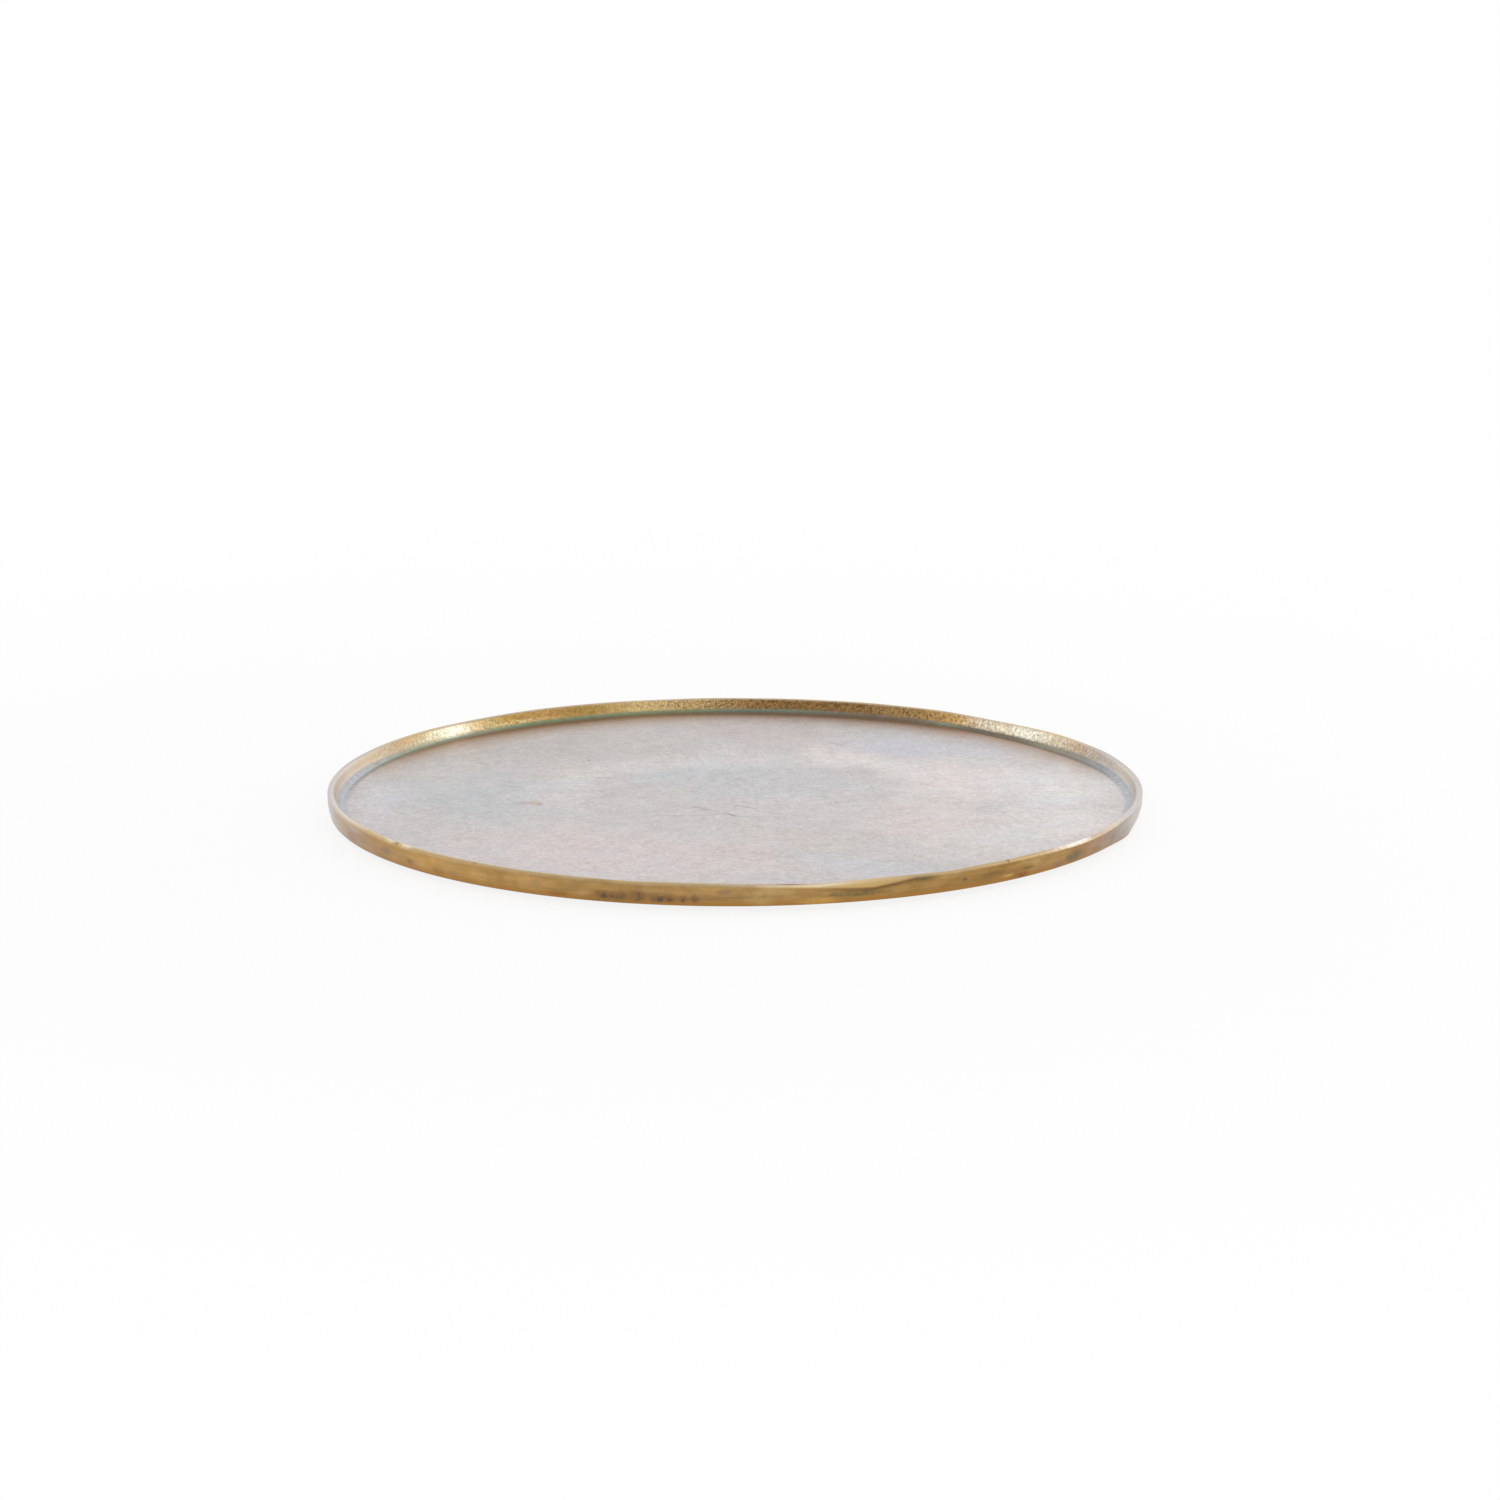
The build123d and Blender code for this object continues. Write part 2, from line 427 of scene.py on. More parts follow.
# The plate's section is turned about the axis on a grid of azimuth and way along the section. Along the
# section's normal, waver and pits move each point into the metal, the crown moves it out and the floor's
# swell moves it both ways. The lip sinks and the foot lifts by bell curves and a sine of the azimuth, and
# then the flats are ground.
def plateSurface(shape):
    draw = np.random.default_rng(shape["seed"])
    rimZ, underZ = plateHigh.z, plateLow.z
    floorZ = underZ + shape["floorThickness"]
    section, normal, walked, zones = plateSection(shape, underZ, floorZ, rimZ)
    azimuth = spreadAzimuths(shape["columns"], shape["pitSpread"])
    along, turn = np.meshgrid(walked, azimuth, indexing="ij")
    degrees = np.degrees(turn)
    radius = np.repeat(section[:, :1], len(azimuth), 1)
    height = np.repeat(section[:, 1:], len(azimuth), 1)

    # Along the normal: waver of both walls, crown of the outer one, swell of the floor, and pits
    past = shape["waverPast"]
    onWall = smoothStep(zones["foot"], zones["outerWall"] + past, along) * (along < zones["land"])
    onInside = smoothStep(zones["land"], zones["innerEdge"] + past, along)
    onInside = onInside * (1 - smoothStep(zones["cove"], zones["floor"], along))
    move = -onWall * straying(shape, draw, turn, along, shape["outerWaver"])
    move -= onInside * straying(shape, draw, turn, along, shape["innerWaver"])
    upWall = ((along - zones["outerWall"]) / (zones["outerEdge"] - zones["outerWall"])).clip(0, 1)
    move += shape["wallCrown"] * np.sin(np.pi * upWall) ** 2
    waves = shape["floorSwell"]
    onFloor = smoothStep(zones["floor"], zones["floor"] + waves["fadesIn"], along)
    east, north = radius * np.sin(turn), -radius * np.cos(turn)
    bearing = draw.uniform(0, 2 * np.pi, waves["count"])
    number = 2 * np.pi / draw.uniform(*waves["lengths"], waves["count"])
    phase = draw.uniform(0, 2 * np.pi, waves["count"])
    reach = east[..., None] * np.cos(bearing) + north[..., None] * np.sin(bearing)
    heave = np.cos(reach * number + phase).sum(-1) * np.sqrt(2 / waves["count"])
    move += waves["by"] * onFloor * heave
    pitted = castingPits(shape, draw, turn, height,
                         (along > zones["outerWall"]) & (along < zones["outerEdge"]))
    move -= pitted
    radius = radius + move * normal[:, :1]
    height = height + move * normal[:, 1:]

    # Straight down and up: the lip is worn low, the foot stands high, tilts and bulges
    sunk = straying(shape, draw, turn, 0 * along, shape["lipWaver"])
    for at, reachTo, deep in shape["lipDips"]:
        sunk = sunk + deep * bellRound(degrees, at, reachTo)
    height -= sunk * smoothStep(floorZ + shape["lipStarts"], rimZ, height) * (along < zones["floor"])
    low = smoothStep(zones["foot"] - shape["footReach"], zones["foot"], along)
    low = low * (1 - smoothStep(zones["outerWall"], zones["outerEdge"], along))
    dipAt, dipReach, dipDepth = shape["footDip"]
    droop = dipDepth * bellRound(degrees, dipAt, dipReach)
    raised = shape["footLift"] + shape["footTilt"] * np.sin(turn) - droop
    height += low * raised.clip(underZ - height, None)
    for at, reachTo, outBy in shape["footBumps"]:
        radius += low * outBy * bellRound(degrees, at, reachTo)

    radius, height, look = groundRim(shape, degrees, radius, height, rimZ, along < zones["land"])
    points = np.stack([radius * np.sin(turn), -radius * np.cos(turn), height], -1).reshape(-1, 3)
    poles = np.array([[0, 0, underZ], [0, 0, height[-1].mean()]])
    points = np.concatenate([poles[:1], points, poles[1:]])
    fields = {"across": along, "pitted": smoothStep(*shape["pitShows"], pitted), **look}
    atPoles = {"across": (walked[0] - section[0, 0], walked[-1] + section[-1, 0])}
    attributes = {}
    for name, values in fields.items():
        first, last = atPoles.get(name, (0, 0))
        attributes[name] = np.concatenate([[first], values.ravel(), [last]])
    return points, (len(section), len(azimuth)), attributes, zones


# Sand-cast brass finish, linished outside and patinated inside: the eye sees a warm antique gold band that
# pales to lilac grey at both sides, where the grazing reflection of the white room is painted into the
# colour, grainy gold inside the rim with painted highlights and glints at two bright places, a dull teal line
# in the cove, and a pale lilac-grey floor with clouds and a brown tint along its edge, which is painted
# reflection of the gold wall and painted shade.
brassFinish = {
    "colours": {
        "gold": "AD8956", "honey": "BC955C", "straw": "C4A66E", "amber": "D6AA5C", "ochre": "A28348",
        "brown": "9E7A48", "umber": "856640", "rust": "8E5A36", "foot": "AA7C40", "wallReflectionAndShade": "95662F",
        "sand": "CDB78C", "worn": "BEA982", "oat": "C2B298", "blush": "C0AA90", "tan": "B9A488",
        "rose": "AA8A70", "drab": "A0906C", "flax": "AAA488", "bevelFoot": "C8A870",
        "bevelCreamAndHighlight": "EEE0C4", "glint": "EADCB4", "highlightIvory": "FCF6EC", "lipHighlight": "EEE4D2", "gleam": "EDE8DC",
        "glow": "DAD3C0", "champagne": "D6CAB6", "chalk": "E2D5C4", "biscuit": "D9C7AE", "stone": "D8CAB8",
        "eggshell": "DCD4C8", "pearl": "C8BEB6", "mist": "CAC4C0", "lilac": "BDB5B2", "floor": "B6B0AF",
        "taupe": "A2978B", "slate": "ABADB2", "pewter": "8E9192", "driftwood": "8C8478",
        "sage": "A8B09C", "lichen": "9BA28F", "olive": "808D6F", "moss": "838A6E", "teal": "767F6F",
        "fern": "8C9080", "ash": "8E8C7C", "thyme": "766E5C", "bark": "6E685A", "bronze": "7C6E60",
        "plum": "8A7062", "stain": "5C573C", "tealStain": "5E5F4C", "pit": "4E4E44", "sootyPit": "7A593C",
        "stainAndShadeBrown": "735A38", "dirtAndShade": "665B44", "under": "7A6A50",
    },
    # How the finish runs round the rim: azimuth from the front for outside and lip, else from the back. The
    # pale colours towards both sides, lilac, mist, stone, pearl, chalk, biscuit and eggshell, are painted
    # reflection of the white room at a grazing angle.
    "outside": [
        (-180, "gold"), (-150, "gold"), (-125, "lilac"), (-86, "mist"), (-78, "lilac"), (-72, "tan"),
        (-66, "rose"), (-57, "gold"), (-44, "honey"), (-25, "gold"), (10, "gold"), (40, "brown"),
        (48, "gold"), (54, "brown"), (60, "rose"), (66, "taupe"), (73, "lilac"), (82, "mist"),
        (125, "lilac"), (150, "gold"), (180, "gold"),
    ],
    # The lip's ivory at 54 degrees is a painted highlight of the right softbox.
    "lip": [
        (-180, "oat"), (-138, "oat"), (-122, "sand"), (-110, "lilac"), (-82, "mist"), (-67, "stone"),
        (-60, "sand"), (-53, "sand"), (-44, "worn"), (-5, "worn"), (1, "oat"), (11, "oat"), (17, "worn"),
        (44, "worn"), (47.5, "oat"), (54, "highlightIvory"), (58.5, "oat"), (64, "stone"), (71, "mist"),
        (110, "lilac"), (122, "sand"), (138, "oat"), (180, "oat"),
    ],
    # Inside, glow at -48 and gleam at 50.5 degrees are painted highlights of the softboxes, and the champagne
    # about the right one is partly painted highlight.
    "inside": [
        (-180, "honey"), (-120, "honey"), (-108, "stone"), (-95, "pearl"), (-79, "chalk"), (-71, "biscuit"),
        (-62, "tan"), (-54, "flax"), (-48, "glow"), (-43, "drab"), (-37, "ochre"), (-30, "gold"),
        (-24, "ochre"), (-15, "straw"), (-4, "brown"), (5, "umber"), (20, "umber"), (31, "brown"),
        (36, "honey"), (42, "champagne"), (46, "champagne"), (50.5, "gleam"), (55, "champagne"),
        (63, "blush"), (72, "pearl"), (82, "eggshell"), (93, "pearl"), (108, "stone"), (120, "honey"),
        (180, "honey"),
    ],
    # In the cove, the pale sage under the left bright place is partly painted highlight.
    "cove": [
        (-180, "olive"), (-110, "slate"), (-76, "slate"), (-61, "lichen"), (-51, "sage"), (-45, "sage"),
        (-34, "olive"), (-10, "moss"), (2, "teal"), (12, "teal"), (20, "bronze"), (29, "bronze"),
        (34, "fern"), (40, "bark"), (50, "thyme"), (56, "ash"), (60, "driftwood"), (71, "pewter"),
        (84, "slate"), (110, "slate"), (180, "olive"),
    ],
    "tintStray": {"blotch": 0.08, "speck": 0.1},       # radians by which patterns push these colours round
    # Sizes of the patterns in millimetres. The linish lines, really about 0.2, are drawn coarser to show
    "patterns": {"blotch": 8.0, "speck": 2.6, "castGrain": 1.15, "glitter": 0.5, "floorGrain": 1.9,
                 "mottle": 8.0, "tone": 26.0},
    # Size, and how far the place is squeezed level, which draws the marks out along the rim
    "levelPatterns": {"linish": (0.85, 0.05), "wallBlotch": (5.0, 0.5)},
    "patternDetail": 3.0,
    "patternRoughness": 0.6,
    # How far each pattern lightens and darkens the colour, over this span of its noise
    "lightDark": {"wallBlotch": 0.22, "linish": 0.11, "castGrain": 0.58, "floorGrain": 0.14, "mottle": 0.07,
                  "speck": 0.15},
    "noiseSpan": {"From Min": 0.3, "From Max": 0.7},
    # Zones along the section: the zone of the shape that each is measured from, and how far past its start
    # the finish begins and is complete
    "zones": {
        "under": ("foot", 0.6, -1.2),
        "foot": ("outerWall", 2.6, -0.6),
        "edge": ("outerEdge", -0.3, 0.5),
        "lip": ("outerEdge", -0.3, 1.8),
        "inside": ("innerEdge", 0.4, 1.6),
        "cove": ("cove", 0.7, 2.2),
        "dirtAndShade": ("floor", -2.5, -1.2),
        "clear": ("floor", -0.9, 1.0),
        "floor": ("floor", -1.2, 0.4),
    },
    "wander": {"From Min": 0.25, "From Max": 0.75, "To Min": -0.25, "To Max": 0.25},   # of the zones' edges
    # How much higher the cove's grey starts on the wall, and how much further it runs into the floor. In the
    # inner wall's two bright places, where its highlights are painted, given by their place across the plate,
    # it starts lower
    "coveAtEnds": (0.35, 0.35),
    "coveAtLeft": 0.75,        # further into the floor only
    "coveAtBright": [(-122.0, -0.6, -0.5), (122.0, -0.4, 1.8)],
    "atEnds": {"From Min": 120.0, "From Max": 155.0},          # millimetres across the plate, to either side
    "atLeft": {"From Min": -125.0, "From Max": -160.0},
    "atBright": {"From Min": 30.0, "From Max": 12.0},          # millimetres from a bright place's middle
    "atBack": {"From Min": 25.0, "From Max": 95.0, "To Min": 0.06, "To Max": 1.0},     # from front to back
    "ragged": {"From Min": 0.28, "From Max": 0.6, "To Min": 0.4, "To Max": 1.0},       # how stains fray
    "outerWall": {
        "blotchFades": {"From Min": 105.0, "From Max": 145.0, "To Max": 0.8},          # towards both sides
        "footFades": {"From Min": 120.0, "From Max": 155.0, "To Min": 1.0, "To Max": 0.3},
        "hue": {1: (0.1, 0.2, 0.7), 2: (0.95, 0.9, 0.65)},     # swing of red, green and blue, and their least
        "markDepth": 6.0,      # reach of a stain or mark across the rim
        # Soot round the pits: how far above them, least half width and height, and growth with the scatter
        "soot": {"above": 0.7, "wide": 2.4, "widens": 1.5, "tall": 1.9, "rises": 1.6, "share": 0.75},
    },
    "lipInset": 2.0,           # the lip's middle lies this far inside the rim
    "innerWall": {
        "coarse": {"From Min": -60.0, "From Max": -15.0, "To Min": 0.45, "To Max": 1.0},       # left to right
        "crests": {"From Min": 0.5, "From Max": 0.64},         # the part of the glitter's noise that glints
        "patchDepth": 30.0,
    },
    "floorLook": {
        "drift": {"size": 40.0, "detail": 4.0, "by": 30.0},    # how far noise pushes the clouds' edges
        "nudge": {"size": 5.0, "detail": 2.0, "by": 1.5},      # and the creases'
        "hue": {1: (0.14, 0.0, -0.12), 2: (0.93, 1.0, 1.06)},
        "foldSize": 9.0,
        "foldDetail": 4.0,
        "foldLine": {"From Max": 0.03, "To Min": 1.0, "To Max": 0.0},  # distance from the noise's middle
        "foldShare": {"From Min": 0.45, "From Max": 0.6, "To Max": 0.16},
        # The brown along the floor's edge is painted reflection of the gold wall and painted shade, stronger
        # towards the back.
        "edge": {"reach": 30.0, "power": 2.2, "share": 0.8},   # the brown tint along the floor's edge
    },
    # The line where cove and floor meet is dirt with painted shade in the corner, stronger towards the back.
    "dirtAndShadeShare": 0.52,
    "dirtAndShadeFurtherLeft": 38.0,   # the dirt line comes this much further forward at the left end
    "metallic": {"To Min": 1.0, "To Max": 0.4},                # from clean metal to dirt and pits
    "roughWall": {"To Min": 0.32, "To Max": 0.42},
    "roughGrain": {"To Min": 0.5, "To Max": 0.36},
    "rough": {"edge": 0.55, "ground": 0.3, "floor": 0.38, "matt": 0.65, "under": 0.6},
    # Strength and depth of the relief
    "relief": {"castGrain": (0.5, 0.3), "linish": (0.4, 0.04), "floorGrain": (0.5, 0.06)},
}
# Soft patches of patina on the floor: place and reach in millimetres from the axis, + to the back and right
floorClouds = [
    {"at": (-5, 42), "reach": (78, 62), "colour": "AFB1B3", "share": 0.7},
    {"at": (36, -8), "reach": (46, 52), "colour": "BABBBD", "share": 0.5},
    {"at": (-105, 2), "reach": (64, 62), "colour": "A9ACAF", "share": 0.75},
    {"at": (-82, 88), "reach": (78, 50), "colour": "A8A5A2", "share": 0.5},
    {"at": (85, 95), "reach": (76, 52), "colour": "B9BAC2", "share": 0.6},
    {"at": (5, 120), "reach": (58, 32), "colour": "B6A9A7", "share": 0.5},
    {"at": (50, 66), "reach": (52, 24), "colour": "D6CDC9", "share": 0.6, "turn": -52},
    {"at": (92, 36), "reach": (38, 58), "colour": "D4C9C8", "share": 0.65, "turn": 15},
    {"at": (82, -42), "reach": (36, 54), "colour": "CABEBB", "share": 0.6, "turn": -15},
    {"at": (138, 18), "reach": (52, 66), "colour": "D2CFCE", "share": 0.75},
    {"at": (-50, -95), "reach": (118, 62), "colour": "C1B5B4", "share": 0.75},
    {"at": (56, -116), "reach": (42, 30), "colour": "B4B5B9", "share": 0.5},
    {"at": (112, -76), "reach": (54, 50), "colour": "CBC6C4", "share": 0.6},
    {"at": (132, -40), "reach": (36, 36), "colour": "DAD3D2", "share": 0.5},
    {"at": (-142, -6), "reach": (24, 56), "colour": "C2BFC5", "share": 0.45},
]
# A faint pale ring round the middle of the floor, which fades towards the front
floorRing = {"at": (6, -8), "radius": 78.0, "halfWidth": 20.0, "fades": {"From Min": -45.0, "From Max": 5.0},
             "share": 0.26, "colour": "D8D1CF"}
# Fine dark creases and small marks on the floor
floorMarks = [
    {"at": (-12.3, -20.5), "reach": (10, 1.3), "turn": -41, "share": 0.32, "colour": "6A6050"},
    {"at": (-15.9, -17.6), "reach": (4, 1.5), "turn": -41, "share": 0.22, "colour": "6A6050"},
    {"at": (-1.7, -30), "reach": (7.5, 1.4), "turn": -44, "share": 0.52, "colour": "6A5C46"},
    {"at": (4.4, -17), "reach": (7, 1.3), "turn": -44, "share": 0.4, "colour": "6A6050"},
    {"at": (-23.5, -31.5), "reach": (13, 1.3), "turn": 4, "share": 0.3, "colour": "8A7E60"},
    {"at": (-85.5, -10), "reach": (3, 5), "share": 0.3, "colour": "7C7870"},
    {"at": (-81.0, -10), "reach": (4.2, 6), "share": 0.5, "colour": "A88864"},
    {"at": (-78.5, -12), "reach": (2.0, 4), "share": 0.5, "colour": "86664A"},
    {"at": (-61, 66), "reach": (1.3, 1.6), "share": 0.7, "colour": "6A6050"},
]
# Stains on the outer wall: azimuth, height, half width, half height, colour and share
wallStains = [
    (3.4, 5.4, 8, 4.4, "straw", 0.55), (5.6, 8.4, 11, 2.8, "straw", 0.55),
    (16.2, 5.9, 15, 1.8, "stain", 0.65), (25.6, 9.6, 11, 1.8, "stain", 0.85),
    (11.0, 3.7, 11, 1.9, "amber", 0.75), (29.5, 9.3, 10, 1.9, "straw", 0.5),
    (31.8, 6.7, 1.5, 0.9, "pit", 0.9), (36.0, 6.8, 9, 1.8, "stain", 0.2),
    (39.1, 4.9, 4.5, 0.9, "amber", 0.8), (41.7, 3.8, 6, 2.2, "rust", 0.85),
    (42.9, 6.3, 5, 0.9, "stain", 0.5), (43.5, 8.9, 10, 2.0, "straw", 0.5),
    (44.6, 7.3, 4.5, 1.6, "straw", 0.4), (49.3, 3.6, 4.5, 2.0, "plum", 0.65),
    (52.6, 5.5, 8, 3.1, "tealStain", 0.75), (58.7, 4.8, 4.5, 1.4, "rust", 0.5),
    (64.0, 5.6, 5, 3.0, "stain", 0.35), (-55.2, 6.4, 6, 3.0, "plum", 0.55),
    (-49.5, 5.4, 3.5, 1.8, "rust", 0.6), (-65.0, 9.0, 12, 2.2, "stone", 0.35),
    (-67.0, 4.8, 10, 2.0, "rust", 0.4), (-43.5, 4.6, 5, 2.0, "rust", 0.5),
    (-34.0, 8.8, 16, 2.2, "brown", 0.45), (-32.5, 5.2, 4, 3.2, "rust", 0.4),
    (-24.0, 3.8, 9, 2.0, "rust", 0.4), (-17.0, 3.5, 18, 2.4, "stainAndShadeBrown", 0.4),
    (-1.5, 8.0, 4, 1.4, "plum", 0.85), (0.8, 6.0, 7, 1.0, "stain", 0.45),
    (13.4, 6.1, 4, 1.2, "tealStain", 0.5),
]
# Marks on the lip: azimuth from the front, half width in millimetres, colour and share. The two pale marks
# are painted highlights.
lipMarks = [
    (-52.6, 1.5, "stain", 0.5), (-50.4, 5.0, "lipHighlight", 0.7), (-54.4, 4.0, "lipHighlight", 0.5),
    (-37.0, 1.6, "rust", 0.3), (-18, 9.0, "gold", 0.5), (7.2, 7.0, "plum", 0.6), (39.2, 1.2, "stain", 0.5),
]
# Painted glints: where cream glint colour is laid on the crests of the inner wall's cast grain. Azimuth from
# the back, height, half width, half height, share
grainGlints = [
    (-49, 11, 30, 30, 0.5), (-36, 7.0, 24, 1.7, 0.9), (-9, 11, 42, 30, 0.75), (28, 11, 30, 30, 0.3),
    (50, 11, 46, 30, 0.95),
]
# Honey gold over the top of the inner wall's two bright places, which holds their painted highlights lower on
# the wall, likewise
innerGold = [(-58, 9.8, 16, 2.4, 0.6), (-43, 9.8, 10, 2.2, 0.5)]


# How much of a soft patch covers each place: its share in the core, and 0 at its reach. The place is measured
# in the patch's own turned and stretched axes.
def softPatch(tree, place, at, reach, turn, share, core=0.25):
    local = addNode(tree, "ShaderNodeMapping", {"Vector": place, "Location": at, "Rotation": (0, 0, turn),
                                                "Scale": reach}, vector_type="TEXTURE")
    apart = addNode(tree, "ShaderNodeVectorMath", {0: local}, out="Value", operation="LENGTH")
    return addNode(tree, "ShaderNodeMapRange", {"Value": apart, "From Min": 1.0, "From Max": core,
                                                "To Min": 0.0, "To Max": share},
                   interpolation_type="SMOOTHSTEP")


# A soft patch on the rim, turned to lie along it. Its azimuth is counted from the front.
def rimPatch(cast, azimuth, height, reach, share, inset=0.0):
    bearing = math.radians(azimuth)
    radius = plateHigh.x - inset
    at = (radius * math.sin(bearing), -radius * math.cos(bearing), height)
    return softPatch(cast.tree, cast.place, at, reach, bearing, share)


# The level place on the floor, pushed about by noise.
def pushedPlace(cast, push):
    tree = cast.tree
    noise = addNode(tree, "ShaderNodeTexNoise", {"Vector": cast.place, "Scale": marksOf(push["size"]),
                                                 "Detail": push["detail"]}, out="Color")
    by = push["by"]
    pushed = addNode(tree, "ShaderNodeVectorMath", {0: noise, 1: (2 * by, 2 * by, 0), 2: (-by, -by, 0)},
                     operation="MULTIPLY_ADD")
    return addNode(tree, "ShaderNodeVectorMath", {0: pushed, 1: cast.level}, operation="ADD")


# Noise patterns, each at its real size, and the light and dark that they give as a factor on the colour.
def castingPatterns(cast, finish):
    tree = cast.tree
    cast.value = {}
    for name, size in finish["patterns"].items():
        cast.value[name] = addNode(tree, "ShaderNodeTexNoise", {
            "Vector": cast.place, "Scale": marksOf(size), "Detail": finish["patternDetail"],
            "Roughness": finish["patternRoughness"]})
    for name, (size, squeeze) in finish["levelPatterns"].items():
        squeezed = addNode(tree, "ShaderNodeVectorMath", {0: cast.place, 1: (squeeze, squeeze, 1.0)},
                           operation="MULTIPLY")
        cast.value[name] = addNode(tree, "ShaderNodeTexNoise", {
            "Vector": squeezed, "Scale": marksOf(size), "Detail": finish["patternDetail"]})
    cast.light = {}
    for name, by in finish["lightDark"].items():
        cast.light[name] = addNode(tree, "ShaderNodeMapRange", {
            "Value": cast.value[name], **finish["noiseSpan"], "To Min": 1 - by, "To Max": 1 + by})


# How much of each zone of the finish covers each place, by the way along the section.
def finishZones(cast, finish, zones):
    tree = cast.tree
    wander = addNode(tree, "ShaderNodeMapRange", {"Value": cast.value["speck"], **finish["wander"]})
    strayed = addNode(tree, "ShaderNodeMath", {0: cast.field["across"], 1: wander}, operation="ADD")
    atEnds = addNode(tree, "ShaderNodeMapRange", {"Value": cast.aside, **finish["atEnds"]})
    cast.atLeft = addNode(tree, "ShaderNodeMapRange", {"Value": cast.x, **finish["atLeft"]})
    endsHigher, endsFurther = finish["coveAtEnds"]
    rises = [(atEnds, endsHigher)]
    runs = [(atEnds, -endsFurther), (cast.atLeft, -finish["coveAtLeft"])]
    for middle, higher, further in finish["coveAtBright"]:
        apart = addNode(tree, "ShaderNodeMath", {0: cast.x, 1: middle}, operation="SUBTRACT")
        apart = addNode(tree, "ShaderNodeMath", {0: apart}, operation="ABSOLUTE")
        bright = addNode(tree, "ShaderNodeMapRange", {"Value": apart, **finish["atBright"]})
        rises.append((bright, higher))
        runs.append((bright, -further))
    upWall = strayed
    for share, by in rises:
        upWall = addNode(tree, "ShaderNodeMath", {0: share, 1: by, 2: upWall}, operation="MULTIPLY_ADD")
    intoFloor = strayed
    for share, by in runs:
        intoFloor = addNode(tree, "ShaderNodeMath", {0: share, 1: by, 2: intoFloor}, operation="MULTIPLY_ADD")
    walk = {"cove": upWall, "dirtAndShade": intoFloor, "clear": intoFloor, "floor": intoFloor}
    cast.on = {}
    for name, (start, begin, end) in finish["zones"].items():
        cast.on[name] = addNode(tree, "ShaderNodeMapRange", {
            "Value": walk.get(name, strayed), "From Min": zones[start] + begin,
            "From Max": zones[start] + end}, interpolation_type="SMOOTHSTEP")


# The finish as it runs round the rim, outside and lip from the front, inside and cove from the back.
def tintsRoundRim(cast, finish):
    tree = cast.tree
    middle = sum(finish["tintStray"].values()) / 2
    cast.tint = {}
    for name, forward in (("outside", -1), ("lip", -1), ("inside", 1), ("cove", 1)):
        ahead = addNode(tree, "ShaderNodeMath", {0: cast.y, 1: forward}, operation="MULTIPLY")
        angle = addNode(tree, "ShaderNodeMath", {0: cast.x, 1: ahead}, operation="ARCTAN2")
        for pattern, by in finish["tintStray"].items():
            angle = addNode(tree, "ShaderNodeMath", {0: cast.value[pattern], 1: by, 2: angle},
                            operation="MULTIPLY_ADD")
        share = addNode(tree, "ShaderNodeMapRange", {"Value": angle, "From Min": middle - math.pi,
                                                     "From Max": middle + math.pi})
        cast.tint[name] = addNode(tree, "ShaderNodeValToRGB", {"Fac": share})
        ramp = cast.tint[name].node.color_ramp
        (_, first), *between, (_, last) = finish[name]
        ramp.elements[0].color = cast.paint[first]
        ramp.elements[-1].color = cast.paint[last]
        for degrees, colour in between:
            ramp.elements.new(degrees / 360 + 0.5).color = cast.paint[colour]


# Outer wall: linished, with faint blotches, an orange foot, stains, soot and pits, and painted shade below
# the flats.
def outerWall(cast, finish):
    tree = cast.tree
    wall = finish["outerWall"]
    plain = addNode(tree, "ShaderNodeMapRange", {"Value": cast.aside, **wall["blotchFades"]})
    blotched = addNode(tree, "ShaderNodeMix", {mixShare: plain, valueUnder: cast.light["wallBlotch"],
                                               valueOver: 1.0})
    rim = cast.tint["outside"]
    for factor in (blotched, cast.light["linish"]):
        rim = addNode(tree, "ShaderNodeVectorMath", {0: rim, "Scale": factor}, operation="SCALE")
    hue = addNode(tree, "ShaderNodeVectorMath", {0: cast.value["mottle"], **wall["hue"]},
                  operation="MULTIPLY_ADD")
    rim = addNode(tree, "ShaderNodeVectorMath", {0: rim, 1: hue}, operation="MULTIPLY")
    footLeft = addNode(tree, "ShaderNodeMapRange", {"Value": cast.aside, **wall["footFades"]})
    footShare = addNode(tree, "ShaderNodeMath", {0: cast.on["foot"], 1: footLeft}, operation="MULTIPLY")
    soot = wall["soot"]
    stains = list(wallStains)
    for azimuth, height, _, wide, tall in plateShape["pitClusters"]:
        stains.append((azimuth, height + soot["above"], soot["wide"] + soot["widens"] * wide,
                       soot["tall"] + soot["rises"] * tall, "sootyPit", soot["share"]))
    layers = [("foot", footShare)]
    for azimuth, height, wide, tall, colour, share in stains:
        patch = rimPatch(cast, azimuth, height, (wide, wall["markDepth"], tall), share)
        frayed = addNode(tree, "ShaderNodeMath", {0: patch, 1: cast.ragged}, operation="MULTIPLY")
        layers.append((colour, frayed))
    # Painted shade in a dark line below the flats, then the pits
    layers += [("stainAndShadeBrown", cast.field["shadeBelowFlat"]), ("pit", cast.field["pitted"])]
    for colour, share in layers:
        rim = addNode(tree, "ShaderNodeMix", {mixShare: share, colourUnder: rim,
                                              colourOver: cast.paint[colour]}, **colourMix)
    return rim


